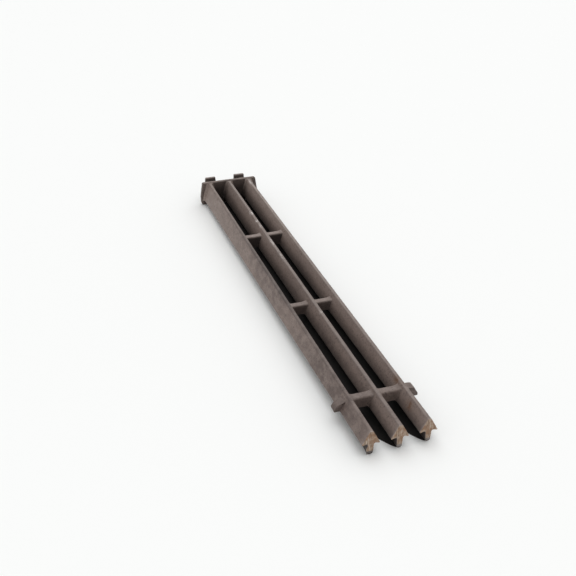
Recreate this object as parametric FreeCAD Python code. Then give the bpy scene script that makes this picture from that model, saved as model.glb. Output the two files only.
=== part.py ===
"""Top grate section of a char-broiler: one grey-iron casting, drawn as its members.

The casting lies with its cooking edges down, as it stands on a bench.
Three arrow-shaped bars run from front (-Y) to rear (+Y): a steep roof on top, two thin
grease wings, and a stem whose rounded nose is the cooking edge. The undersides of the
wings are grease gutters, shallow at the rear and deep at the front, so that the grease
drains forward. The roofs are deepest at the rear to match.
Cross ties join the bars, an end plate closes the rear, two hooks behind it go over the
appliance's rear rail, and two ears in line with the front tie rest on its front ledge.

All members are one casting. They meet face to face, each as a solid of its own.
Frame: origin at the middle of the footprint, +X right, +Y to the rear, +Z up, millimetres.
"""
import FreeCAD
import Part
import math
import os

V = FreeCAD.Vector

# Bars
BAR_PITCH = 25.4           # from ridge to ridge
BAR_LENGTH = 508.0         # front end to the end plate
BAR_HEIGHT_FRONT = 23.4    # cooking edge to ridge at the front end
BAR_HEIGHT_REAR = 28.7     # the same at the end plate
RIDGE_WIDTH = 3.3          # over the rounded top of the roof
RIDGE_RADIUS = 1.0
WING_SPAN = 15.8           # over both wing tips
GUTTER_DEPTH_FRONT = 10.5  # cooking edge to the underside of a wing tip at the front end
GUTTER_DEPTH_REAR = 5.7    # the same at the end plate
WING_TIP = 1.2             # thickness of a wing at its tip
WING_TIP_RADIUS = 0.4
GUTTER_RISE = 1.2          # how much higher a wing's underside is at the stem
STEM_ROOT_WIDTH = 5.6
STEM_NOSE_WIDTH = 4.2
ROOT_RADIUS = 1.2
NOSE_RADIUS = 1.9

# Cross ties: middle from the front end, thickness along the bars, top below the ridges
FRONT_TIE = {"place": 50.4, "thickness": 8.4, "drop": 2.9}
MIDDLE_TIE = {"place": 208.3, "thickness": 7.6, "drop": 5.8}
REAR_TIE = {"place": 363.7, "thickness": 7.6, "drop": 5.8}
TIE_EDGE_RADIUS = 1.8

# Ears on the outer bars, in line with the front tie: drops are below the ridges
EAR_REACH = 13.3           # from the outer bar's ridge outwards
EAR_ROOT_DROP = 3.4        # where its top leaves the roof
EAR_SHOULDER_REACH = 9.2   # to where its top turns down
EAR_SHOULDER_DROP = 4.0
EAR_SHOULDER_RADIUS = 1.5
EAR_END_HEIGHT = 2.5       # its blunt outer end
EAR_EDGE_RADIUS = 0.8

# End plate: reaches are from the outer bars' ridges outwards
PLATE_THICKNESS = 5.0
PLATE_RISE = 0.8           # top edge above the ridges
PLATE_TOP_REACH = 9.4
PLATE_WAIST_REACH = 12.2   # at its widest
PLATE_WAIST_DROP = 18.2    # widest place, below the ridges
PLATE_FOOT_REACH = 11.4
PLATE_TOP_RADIUS = 1.5
PLATE_FOOT_RADIUS = 3.0

# Hooks behind the end plate: drops are below the ridges
HOOK_SPACING = 38.0        # from middle to middle
HOOK_WIDTH = 14.4
HOOK_TIP_WIDTH = 13.4
RAIL_SLOT = 16.0           # clear gap between end plate and hook tip
HOOK_TIP_THICKNESS = 4.4
HOOK_ARM_THICKNESS = 5.0
HOOK_ARM_DROP = 9.5        # top of the arm
HOOK_TIP_DROP = 2.0        # top of the tip
HOOK_EDGE_RADIUS = 1.2

# How far a tie or an ear is drawn into a bar before it is trimmed to the bar's faces
TRIM = 1.0

# Worked out
OVERALL_LENGTH = BAR_LENGTH + PLATE_THICKNESS + RAIL_SLOT + HOOK_TIP_THICKNESS
FRONT_Y = -OVERALL_LENGTH / 2
PLATE_Y = FRONT_Y + BAR_LENGTH
PLATE_BACK_Y = PLATE_Y + PLATE_THICKNESS
SIDES = {"left": -1, "right": 1}


def between(front, rear, y):
    """Value at the place y of a size that runs straight from the front end to the end plate."""
    return front + (rear - front) * (y - FRONT_Y) / BAR_LENGTH


def ridge_height(y):
    """Height of the ridges above the cooking edges at the place y."""
    return between(BAR_HEIGHT_FRONT, BAR_HEIGHT_REAR, y)


def wing_underside(y):
    """Height of the lower edges of the wing tips at the place y."""
    return between(GUTTER_DEPTH_FRONT, GUTTER_DEPTH_REAR, y)


def parting_line(y):
    """Height of the middle of the wing tips, where ties and ears have their feet."""
    return wing_underside(y) + WING_TIP / 2


def roof_half_width(y, height):
    """Half the width of a bar's roof at the place y and a height above the cooking edges."""
    ridge = ridge_height(y)
    wing = wing_underside(y) + WING_TIP
    share = (ridge - height) / (ridge - wing)
    return RIDGE_WIDTH / 2 + (WING_SPAN - RIDGE_WIDTH) / 2 * share


def outline(corners, place):
    """Closed wire through (a, b, radius) corners, each rounded; place turns (a, b) into a point."""
    points = [V(a, b, 0) for a, b, _ in corners]
    radii = [radius for _, _, radius in corners]
    edges = []
    ends = []
    for i, corner in enumerate(points):
        before = (points[i - 1] - corner).normalize()
        after = (points[(i + 1) % len(points)] - corner).normalize()
        half_angle = before.getAngle(after) / 2
        reach = radii[i] / math.tan(half_angle)
        middle = (before + after).normalize() * (radii[i] / math.sin(half_angle) - radii[i])
        ends.append((corner + before * reach, corner + middle, corner + after * reach))
    for i, (start, middle, end) in enumerate(ends):
        if radii[i] > 0:
            edges.append(Part.Arc(place(start), place(middle), place(end)).toShape())
        following = ends[(i + 1) % len(ends)][0]
        edges.append(Part.LineSegment(place(end), place(following)).toShape())
    return Part.Wire(edges)


def mirrored(half):
    """Whole outline from its right half, listed from top to bottom."""
    return half + [(-a, b, radius) for a, b, radius in reversed(half)]


def across(y):
    """Placing of an outline of (x, z) corners in the plane at y."""
    return lambda point: V(point.x, y, point.y)


def along(x):
    """Placing of an outline of (y, z) corners in the plane at x."""
    return lambda point: V(x, point.x, point.y)


def bar_section(x, y):
    """Arrow-shaped section of the bar whose ridge is above the line x, at the place y."""
    under = wing_underside(y)
    half = [
        (RIDGE_WIDTH / 2, ridge_height(y), RIDGE_RADIUS),
        (WING_SPAN / 2, under + WING_TIP, WING_TIP_RADIUS),
        (WING_SPAN / 2, under, WING_TIP_RADIUS),
        (STEM_ROOT_WIDTH / 2, under + GUTTER_RISE, ROOT_RADIUS),
        (STEM_NOSE_WIDTH / 2, 0, NOSE_RADIUS),
    ]
    section = outline(mirrored(half), across(y))
    section.translate(V(x, 0, 0))
    return section


def bar(x, start, end):
    """Stretch of a bar between two places, straight from the one section to the other."""
    return Part.makeLoft([bar_section(x, start), bar_section(x, end)], True, True)


def trim(block, y, thickness, lines):
    """Block without what the bars above the given lines take up, at the place y."""
    for x in lines:
        block = block.cut(bar(x, y - thickness, y + thickness))
    return block.Solids[0]


def tie(left_x, sizes):
    """Cross tie from the bar at left_x to the next one, its foot on the parting line."""
    y = FRONT_Y + sizes["place"]
    half = sizes["thickness"] / 2
    top = ridge_height(y) - sizes["drop"]
    foot = parting_line(y)
    start = left_x + roof_half_width(y, top) - TRIM
    length = BAR_PITCH - 2 * (start - left_x)
    corners = [
        (y - half, top, TIE_EDGE_RADIUS),
        (y + half, top, TIE_EDGE_RADIUS),
        (y + half, foot, 0),
        (y - half, foot, 0),
    ]
    block = Part.Face(outline(corners, along(start))).extrude(V(length, 0, 0))
    return trim(block, y, sizes["thickness"], (left_x, left_x + BAR_PITCH))


def ear(side):
    """Ear on an outer bar, in line with the front tie: beyond a shoulder its top falls to a blunt end."""
    y = FRONT_Y + FRONT_TIE["place"]
    thickness = FRONT_TIE["thickness"]
    root = ridge_height(y) - EAR_ROOT_DROP
    shoulder = ridge_height(y) - EAR_SHOULDER_DROP
    foot = parting_line(y)
    end = foot + EAR_END_HEIGHT
    profile = [
        (roof_half_width(y, root) - TRIM, root, 0),
        (roof_half_width(y, root), root, 0),
        (EAR_SHOULDER_REACH, shoulder, EAR_SHOULDER_RADIUS),
        (EAR_REACH, end, EAR_EDGE_RADIUS),
        (EAR_REACH, foot, EAR_EDGE_RADIUS),
        (WING_SPAN / 2 - TRIM, foot, 0),
    ]
    corners = [(side * (BAR_PITCH + reach), height, radius) for reach, height, radius in profile]
    block = Part.Face(outline(corners, across(y - thickness / 2))).extrude(V(0, thickness, 0))
    return trim(block, y, thickness, (side * BAR_PITCH,))


def end_plate():
    """Rear end plate, widest below its middle, standing on the same level as the cooking edges."""
    half = [
        (BAR_PITCH + PLATE_TOP_REACH, BAR_HEIGHT_REAR + PLATE_RISE, PLATE_TOP_RADIUS),
        (BAR_PITCH + PLATE_WAIST_REACH, BAR_HEIGHT_REAR - PLATE_WAIST_DROP, PLATE_TOP_RADIUS),
        (BAR_PITCH + PLATE_FOOT_REACH, 0, PLATE_FOOT_RADIUS),
    ]
    return Part.Face(outline(mirrored(half), across(PLATE_Y))).extrude(V(0, PLATE_THICKNESS, 0))


def hook(side):
    """L-shaped hook: an arm out of the end plate's back and a tip that stands up behind the rail."""
    x = side * HOOK_SPACING / 2
    arm_top = BAR_HEIGHT_REAR - HOOK_ARM_DROP
    arm_foot = arm_top - HOOK_ARM_THICKNESS
    tip_top = BAR_HEIGHT_REAR - HOOK_TIP_DROP
    tip_y = PLATE_BACK_Y + RAIL_SLOT
    back_y = tip_y + HOOK_TIP_THICKNESS
    side_view = [
        (PLATE_BACK_Y, arm_foot, 0),
        (PLATE_BACK_Y, arm_top, 0),
        (tip_y, arm_top, HOOK_EDGE_RADIUS),
        (tip_y, tip_top, HOOK_EDGE_RADIUS),
        (back_y, tip_top, HOOK_EDGE_RADIUS),
        (back_y, arm_foot, HOOK_EDGE_RADIUS),
    ]
    rear_view = [
        (HOOK_TIP_WIDTH / 2, tip_top, 0),
        (HOOK_WIDTH / 2, arm_top, 0),
        (HOOK_WIDTH / 2, arm_foot, 0),
    ]
    bend = Part.Face(outline(side_view, along(x - HOOK_WIDTH / 2))).extrude(V(HOOK_WIDTH, 0, 0))
    taper = Part.Face(outline(mirrored(rear_view), across(PLATE_BACK_Y)))
    taper.translate(V(x, 0, 0))
    return bend.common(taper.extrude(V(0, back_y - PLATE_BACK_Y, 0))).Solids[0]


def grate():
    """All members by node name."""
    members = {}
    for name, x in (("left", -BAR_PITCH), ("centre", 0), ("right", BAR_PITCH)):
        members["bar_" + name] = bar(x, FRONT_Y, PLATE_Y)
    for row, sizes in (("front", FRONT_TIE), ("middle", MIDDLE_TIE), ("rear", REAR_TIE)):
        members[row + "_tie_left"] = tie(-BAR_PITCH, sizes)
        members[row + "_tie_right"] = tie(0, sizes)
    members["rear_end_plate"] = end_plate()
    for name, side in SIDES.items():
        members["front_ear_" + name] = ear(side)
        members["rear_hook_" + name] = hook(side)
    return members


os.makedirs("parts", exist_ok=True)
for node, shape in grate().items():
    shape.exportStep("parts/" + node + ".step")
    box = shape.BoundBox
    print(node, shape.ShapeType, shape.isValid(), round(shape.Volume, 1),
          [round(v, 2) for v in (box.XMin, box.XMax, box.YMin, box.YMax, box.ZMin, box.ZMax)])
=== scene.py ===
"""Looks of a cast-iron char-broiler grate section that lies with its cooking edges down.

The casting is dressed member by member: three bars, six cross ties, two ears, the end plate and
two hooks. Every member is a closed mesh of its own that stands for the solid of the same name.
Members that are alike are modelled once and copied, and each copy gets its own relief and wear.
Sizes are in millimetres until they go into a mesh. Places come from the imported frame.
"""
from __future__ import annotations

import logging
import math
from dataclasses import dataclass
from enum import Enum
from typing import Callable, Iterable, NamedTuple, Sequence

import bpy
import numpy as np
from mathutils import Matrix, Vector

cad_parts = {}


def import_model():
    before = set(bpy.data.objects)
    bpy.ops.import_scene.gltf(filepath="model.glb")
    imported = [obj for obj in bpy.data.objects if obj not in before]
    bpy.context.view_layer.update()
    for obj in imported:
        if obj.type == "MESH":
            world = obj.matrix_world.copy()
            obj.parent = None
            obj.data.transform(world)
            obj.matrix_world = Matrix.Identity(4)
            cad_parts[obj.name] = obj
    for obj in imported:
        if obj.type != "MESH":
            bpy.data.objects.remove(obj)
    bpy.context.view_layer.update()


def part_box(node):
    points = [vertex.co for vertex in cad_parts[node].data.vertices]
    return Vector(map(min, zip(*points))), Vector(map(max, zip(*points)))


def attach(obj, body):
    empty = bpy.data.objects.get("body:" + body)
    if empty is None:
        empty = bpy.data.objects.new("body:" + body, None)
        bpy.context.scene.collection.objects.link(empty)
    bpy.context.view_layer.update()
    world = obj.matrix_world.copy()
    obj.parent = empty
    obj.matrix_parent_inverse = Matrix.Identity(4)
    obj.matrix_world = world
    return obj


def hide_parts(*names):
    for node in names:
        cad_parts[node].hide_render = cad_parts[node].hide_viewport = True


MM = 0.001
LOG = logging.getLogger("grate")
Point = tuple[float, float]
Corner = tuple[float, float, float, int]
Colour = tuple[float, float, float, float]
Mask = Callable[[np.ndarray], np.ndarray]
Shift = Callable[[np.ndarray], np.ndarray]
Socket = bpy.types.NodeSocket

# Columns of the rows that a mask gets: a middle, then an edge's direction or a face's normal
X, Y, Z, WAY_X, WAY_Y, WAY_Z = range(6)
ALIGNED = 0.9  # cosine from which a direction counts as following an axis
DOUBLES = 0.004  # distance at which two vertices are taken as one
CLOSE = 0.1  # distance at which a place counts as on a face
SMOOTH_ANGLE = 40.0  # degrees up to which an edge is shaded smooth
ARC_STEPS = 3  # straight lines that a round corner is drawn with
# The first mark is painted light and the last is painted shade; the others are wear and rust
MARKS = ("painted_light", "rubbed", "bare", "rust", "shade")  # what the cast finish reads off a piece


class Pick(Enum):
    """Kind of mesh element that a selection is made of, as Blender's select modes order them."""

    VERTICES = (True, False, False)
    EDGES = (False, True, False)
    FACES = (False, False, True)


class Side(Enum):
    """Side of the grate, seen from its front end."""

    LEFT = -1
    RIGHT = 1


# ---------------------------------------------------------------- selecting and shaping


def deselect() -> None:
    """Leaves object mode's selection empty."""
    if bpy.context.mode != "OBJECT":
        bpy.ops.object.mode_set(mode="OBJECT")
    bpy.ops.object.select_all(action="DESELECT")


def pick_up(piece: bpy.types.Object) -> None:
    """Selects a piece on its own, in object mode.

    Args:
        piece: the piece.
    """
    deselect()
    piece.select_set(True)
    bpy.context.view_layer.objects.active = piece


def begin(name: str) -> bpy.types.Object:
    """Takes the primitive that was just added as the start of a piece.

    Args:
        name: what the piece is called.

    Returns:
        The object, selected on its own, in object mode, with its place in its mesh.
    """
    piece = bpy.context.object
    piece.name = name
    piece.data.name = name
    bpy.ops.object.transform_apply(location=True, rotation=True, scale=True)
    return piece


def add_block(name: str, low: Vector, high: Vector) -> bpy.types.Object:
    """Block between two corners in millimetres, made from a cube.

    Args:
        name: what the piece is called.
        low: its low corner.
        high: its high corner.

    Returns:
        The piece.
    """
    deselect()
    bpy.ops.mesh.primitive_cube_add(size=1.0, location=(low + high) / 2 * MM)
    bpy.context.object.dimensions = (high - low) * MM
    return begin(name)


def add_outline(name: str, points: Sequence[Sequence[float]]) -> bpy.types.Object:
    """Flat face with given corners in millimetres, made from a filled circle.

    Args:
        name: what the piece is called.
        points: (x, y, z) of each corner in order.

    Returns:
        The piece.
    """
    deselect()
    bpy.ops.mesh.primitive_circle_add(vertices=len(points), radius=0.01, fill_type="NGON")
    piece = begin(name)
    move_to(piece, np.array(points))
    return piece


def copy_of(pattern: bpy.types.Object, name: str, way: Vector) -> bpy.types.Object:
    """Copies a piece and moves the copy.

    Args:
        pattern: the piece to copy.
        name: what the copy is called.
        way: how far the copy moves, in millimetres.

    Returns:
        The copy, with a mesh of its own.
    """
    pick_up(pattern)
    bpy.ops.object.duplicate(linked=False)
    piece = bpy.context.object
    piece.name = name
    piece.data.name = name
    move_to(piece, places(piece) + np.array(way))
    return piece


def places(piece: bpy.types.Object) -> np.ndarray:
    """Places of a piece's vertices in millimetres, one row each.

    Args:
        piece: the piece, in object mode.

    Returns:
        The places.
    """
    rows = np.empty(len(piece.data.vertices) * 3)
    piece.data.vertices.foreach_get("co", rows)
    return rows.reshape(-1, 3) / MM


def move_to(piece: bpy.types.Object, rows: np.ndarray) -> None:
    """Moves a piece's vertices to new places.

    Args:
        piece: the piece, in object mode.
        rows: the places in millimetres, one row for each vertex.
    """
    piece.data.vertices.foreach_set("co", (rows * MM).ravel())
    piece.data.update()


def sculpt(piece: bpy.types.Object, shift: Shift) -> None:
    """Works over a piece's skin with a stroke that says how far each vertex moves."""
    rows = places(piece)
    move_to(piece, rows + shift(rows))


def edit(piece: bpy.types.Object, kind: Pick, mask: Mask) -> None:
    """Opens a piece in edit mode with the elements selected whose middles pass a test.

    Args:
        piece: the piece to open.
        kind: vertices, edges or faces.
        mask: test on rows of middles in millimetres; for an edge the row goes on with its
            direction, and for a face with its normal.
    """
    pick_up(piece)
    mesh = piece.data
    rows = places(piece)
    for group in (mesh.vertices, mesh.edges, mesh.polygons):
        group.foreach_set("select", np.zeros(len(group), bool))
    if kind is Pick.VERTICES:
        group = mesh.vertices
    elif kind is Pick.EDGES:
        group = mesh.edges
        ends = np.empty(len(group) * 2, int)
        group.foreach_get("vertices", ends)
        first, last = rows[ends[0::2]], rows[ends[1::2]]
        way = last - first
        way /= np.maximum(np.linalg.norm(way, axis=1, keepdims=True), 1e-9)
        rows = np.hstack([(first + last) / 2, way])
    else:
        group = mesh.polygons
        middles, normals = np.empty(len(group) * 3), np.empty(len(group) * 3)
        group.foreach_get("center", middles)
        group.foreach_get("normal", normals)
        rows = np.hstack([middles.reshape(-1, 3) / MM, normals.reshape(-1, 3)])
    group.foreach_set("select", mask(rows))
    bpy.context.tool_settings.mesh_select_mode = kind.value
    bpy.ops.object.mode_set(mode="EDIT")


def volume(piece: bpy.types.Object) -> float:
    """Volume inside a closed piece in cubic millimetres, negative where its faces point inwards.

    Args:
        piece: the piece, in object mode.

    Returns:
        The volume.
    """
    mesh = piece.data
    mesh.calc_loop_triangles()
    corners = np.empty(len(mesh.loop_triangles) * 3, int)
    mesh.loop_triangles.foreach_get("vertices", corners)
    first, second, third = places(piece)[corners].reshape(-1, 3, 3).transpose(1, 0, 2)
    return float((first * np.cross(second, third)).sum() / 6)


def face_outwards(piece: bpy.types.Object) -> None:
    """Merges a closed piece's doubles and turns all its faces outwards.

    Args:
        piece: the piece, in object mode.
    """
    edit(piece, Pick.FACES, everywhere)
    bpy.ops.mesh.remove_doubles(threshold=DOUBLES * MM)
    bpy.ops.mesh.normals_make_consistent(inside=False)
    bpy.ops.object.mode_set(mode="OBJECT")
    if volume(piece) < 0:
        edit(piece, Pick.FACES, everywhere)
        bpy.ops.mesh.flip_normals()
        bpy.ops.object.mode_set(mode="OBJECT")


def close_up(piece: bpy.types.Object) -> None:
    """Turns all of a piece's faces outwards and shades it smooth but for its sharp edges."""
    face_outwards(piece)
    bpy.ops.object.shade_smooth_by_angle(angle=math.radians(SMOOTH_ANGLE))


def rounded(corners: Sequence[Corner]) -> list[Point]:
    """Closed outline with round corners and split sides.

    Args:
        corners: (a, b, radius, parts) each; parts is what the side after it is split into.

    Returns:
        The outline's points in order.
    """
    spots = [Vector((a, b)) for a, b, _, _ in corners]
    arcs: list[list[Vector]] = []
    for i, spot in enumerate(spots):
        radius = corners[i][2]
        if not radius:
            arcs.append([spot])
            continue
        before = (spots[i - 1] - spot).normalized()
        after = (spots[(i + 1) % len(spots)] - spot).normalized()
        half = before.angle(after) / 2
        reach = radius / math.tan(half)
        centre = spot + (before + after).normalized() * (radius / math.sin(half))
        start, end = spot + before * reach - centre, spot + after * reach - centre
        step = -start.angle_signed(end) / ARC_STEPS
        turns = (Matrix.Rotation(step * k, 2) for k in range(ARC_STEPS + 1))
        arcs.append([centre + turn @ start for turn in turns])
    points: list[Point] = []
    for i, arc in enumerate(arcs):
        parts = corners[i][3]
        after = arcs[(i + 1) % len(arcs)][0]
        points += [tuple(spot) for spot in arc]
        points += [tuple(arc[-1].lerp(after, k / parts)) for k in range(1, parts)]
    return points


def mirrored(half: Sequence[Corner]) -> list[Corner]:
    """Whole row of corners from the right half, top to bottom; sides keep their parts.

    Args:
        half: (a, b, radius, parts) each, from the top down.

    Returns:
        The whole row.
    """
    foot_parts = 2
    left = []
    for i in range(len(half) - 1, -1, -1):
        a, b, radius, _ = half[i]
        left.append((-a, b, radius, half[i - 1][3] if i else foot_parts))
    return list(half) + left


def extrude(piece: bpy.types.Object, mask: Mask, way: Sequence[float]) -> None:
    """Extrudes the faces that pass a test along a way in millimetres, back in object mode after.

    Args:
        piece: the piece, in object mode.
        mask: test on the rows of faces.
        way: how far and which way.
    """
    edit(piece, Pick.FACES, mask)
    bpy.ops.mesh.extrude_region_move(TRANSFORM_OT_translate={"value": tuple(v * MM for v in way)})
    bpy.ops.object.mode_set(mode="OBJECT")


def subdivide(piece: bpy.types.Object, mask: Mask, rounds: Iterable[int]) -> None:
    """Splits the edges that pass a test, one round of cuts after another.

    Args:
        piece: the piece, in object mode.
        mask: test on the rows of edges.
        rounds: number of cuts in each round.
    """
    for cuts in rounds:
        edit(piece, Pick.EDGES, mask)
        bpy.ops.mesh.subdivide(number_cuts=cuts, smoothness=0.0)
        bpy.ops.object.mode_set(mode="OBJECT")


def bevel(piece: bpy.types.Object, mask: Mask, width: float, segments: int) -> None:
    """Rounds the edges that pass a test to a width in millimetres.

    Args:
        piece: the piece, in object mode.
        mask: test on the rows of edges.
        width: how wide the rounding is.
        segments: how many strips it has.
    """
    edit(piece, Pick.EDGES, mask)
    bpy.ops.mesh.bevel(offset=width * MM, segments=segments, profile=0.5, affect="EDGES")
    bpy.ops.object.mode_set(mode="OBJECT")


def aligned(column: int) -> Mask:
    """Mask of the edges or faces whose direction or normal follows an axis."""
    return lambda rows: np.abs(rows[:, column]) > ALIGNED


def everywhere(rows: np.ndarray) -> np.ndarray:
    """Every row."""
    return np.ones(len(rows), bool)


def along(axis: int, amounts: np.ndarray) -> np.ndarray:
    """Shifts by given amounts along one axis."""
    return amounts[:, None] * np.eye(3)[axis]


def fillet(distance: np.ndarray, radius: float) -> np.ndarray:
    """How far a cast fillet stands out of a face at a distance from the face that it runs into."""
    inward = np.clip(radius - distance, 0.0, radius)
    return radius - np.sqrt(np.maximum(radius**2 - inward**2, 0.0))


def ramp(away: np.ndarray, length: float) -> np.ndarray:
    """0 up to a place and 1 from a length beyond it, rising evenly between."""
    return np.clip(away / length, 0.0, 1.0)


def bell(away: np.ndarray, reach: float, power: int = 2) -> np.ndarray:
    """1 at a place, falling off softly on both sides; a higher power keeps its top flatter."""
    return np.exp(-((away / reach) ** power))


@dataclass(frozen=True)
class SandSkin:
    """Relief that the sand mould leaves: it only takes off, so a piece stays within its solid.

    Attributes:
        swell: depth of the long, low waves of a hand-rammed mould.
        swell_size: their size.
        grain: depth of the coarse sand grain.
        grain_size: its size.
        octaves: how many finer octaves both have.
    """

    swell: float = 0.16
    swell_size: float = 22.0
    grain: float = 0.24
    grain_size: float = 2.2
    octaves: int = 2

    def press(self, piece: bpy.types.Object) -> None:
        """Puts both layers of relief into a piece's mesh, after its faces are turned outwards.

        Args:
            piece: the piece, in object mode.
        """
        face_outwards(piece)
        for label, depth, size in (
            ("swell", self.swell, self.swell_size),
            ("grain", self.grain, self.grain_size),
        ):
            name = "sand_" + label
            sand = bpy.data.textures.get(name) or bpy.data.textures.new(name, "CLOUDS")
            sand.noise_scale = size * MM
            sand.noise_depth = self.octaves
            layer = piece.modifiers.new(label, "DISPLACE")
            layer.texture = sand
            layer.texture_coords = "LOCAL"
            layer.strength = depth * MM
            layer.mid_level = 1.0
            pick_up(piece)
            bpy.ops.object.modifier_apply(modifier=layer.name)


def mark(piece: bpy.types.Object, marks: dict[str, np.ndarray]) -> None:
    """Stores the marks that the finishes read, one number per vertex.

    Args:
        piece: the piece to mark.
        marks: each mark's strength by its name; a mark left out is 0 all over.
    """
    for name in MARKS:
        store = piece.data.attributes.new(name, "FLOAT", "POINT")
        if name in marks:
            store.data.foreach_set("value", np.clip(marks[name], 0.0, 1.0).astype(np.float32))


# ---------------------------------------------------------------- finishes


def linear(colour: str) -> Colour:
    """Linear colour from an sRGB hex value such as "#4a423d".

    Args:
        colour: the hex value.

    Returns:
        Red, green, blue and full opacity.
    """
    parts = [int(colour[i : i + 2], 16) / 255 for i in (1, 3, 5)]
    lit = (p / 12.92 if p <= 0.04045 else ((p + 0.055) / 1.055) ** 2.4 for p in parts)
    return tuple(lit) + (1.0,)


def add_node(
    tree: bpy.types.NodeTree,
    kind: str,
    inputs: dict[str | int, object] | None = None,
    **settings: object,
) -> bpy.types.Node:
    """Adds a node with its settings and inputs.

    Args:
        tree: where the node goes.
        kind: Blender's name of the node type.
        inputs: value, or another node's output to link, for each input's name or number.
        **settings: the node's own settings.

    Returns:
        The node.
    """
    node = tree.nodes.new(kind)
    for key, value in settings.items():
        setattr(node, key, value)
    for key, value in (inputs or {}).items():
        if isinstance(value, Socket):
            tree.links.new(value, node.inputs[key])
        else:
            node.inputs[key].default_value = value
    return node


def blank(name: str) -> tuple[bpy.types.Material, bpy.types.NodeTree]:
    """Material without nodes, and its node tree.

    Args:
        name: the real material and how it was made.

    Returns:
        The material and its nodes.
    """
    material = bpy.data.materials.new(name)
    material.use_nodes = True
    material.node_tree.nodes.clear()
    return material, material.node_tree


def millimetres(tree: bpy.types.NodeTree) -> Socket:
    """The object's own coordinates in millimetres, for patterns of a real size.

    Args:
        tree: the material's nodes.

    Returns:
        The socket of the coordinates.
    """
    own = add_node(tree, "ShaderNodeTexCoord").outputs["Object"]
    scaled = add_node(tree, "ShaderNodeMapping", {"Vector": own, "Scale": (1 / MM,) * 3})
    return scaled.outputs["Vector"]


@dataclass(frozen=True)
class Blotches:
    """Irregular patches that a coat of colour keeps to.

    Attributes:
        size: their size in millimetres.
        low: noise value up to which the coat is left out.
        high: noise value from which the coat is full.
        stretch: how much longer they are along each axis.
        detail: octaves of finer noise at their edges.
        roughness: how strong the finer octaves are.
    """

    size: float
    low: float
    high: float
    stretch: tuple[float, float, float] = (1.0, 1.0, 1.0)
    detail: float = 3.0
    roughness: float = 0.6

    def mask(self, tree: bpy.types.NodeTree, place: Socket) -> Socket:
        """Draws them as a mask.

        Args:
            tree: the material's nodes.
            place: coordinates in millimetres.

        Returns:
            The mask's socket, from 0 to 1.
        """
        squeeze = tuple(1 / longer for longer in self.stretch)
        stretched = add_node(tree, "ShaderNodeMapping", {"Vector": place, "Scale": squeeze})
        noise = add_node(
            tree,
            "ShaderNodeTexNoise",
            {
                "Vector": stretched.outputs["Vector"],
                "Scale": 1 / self.size,
                "Detail": self.detail,
                "Roughness": self.roughness,
            },
        )
        spread = add_node(
            tree,
            "ShaderNodeMapRange",
            {"Value": noise.outputs["Fac"], "From Min": self.low, "From Max": self.high},
            interpolation_type="SMOOTHSTEP",
        )
        return spread.outputs["Result"]


def coated(
    tree: bpy.types.NodeTree, base: str, coats: Iterable[tuple[str, Socket, Socket | float]]
) -> Socket:
    """Lays coats of colour over one another.

    Args:
        tree: the material's nodes.
        base: sRGB hex value of the lowest colour.
        coats: from the bottom up, the colour, mask and strength of each; the strength may be a
            second mask.

    Returns:
        The socket of the colour that comes out on top.
    """
    share_in, under_in, over_in, colour_out = 0, 6, 7, 2
    colour: Colour | Socket = linear(base)
    for over, mask, strength in coats:
        share = add_node(tree, "ShaderNodeMath", {0: mask, 1: strength}, operation="MULTIPLY")
        inputs = {share_in: share.outputs[0], under_in: colour, over_in: linear(over)}
        colour = add_node(tree, "ShaderNodeMix", inputs, data_type="RGBA").outputs[colour_out]
    return colour


def surface(
    tree: bpy.types.NodeTree,
    inputs: dict[str, object],
    relief: tuple[Socket, float, float] | None = None,
) -> None:
    """Ends a material with its shader and the output.

    Args:
        tree: the material's nodes.
        inputs: value or socket for each of the shader's inputs.
        relief: height mask, strength and depth in millimetres of its fine relief, if any.
    """
    if relief:
        height, strength, depth = relief
        bump = {"Height": height, "Strength": strength, "Distance": depth * MM}
        inputs["Normal"] = add_node(tree, "ShaderNodeBump", bump).outputs["Normal"]
    shader = add_node(tree, "ShaderNodeBsdfPrincipled", inputs)
    add_node(tree, "ShaderNodeOutputMaterial", {"Surface": shader.outputs["BSDF"]})


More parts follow.
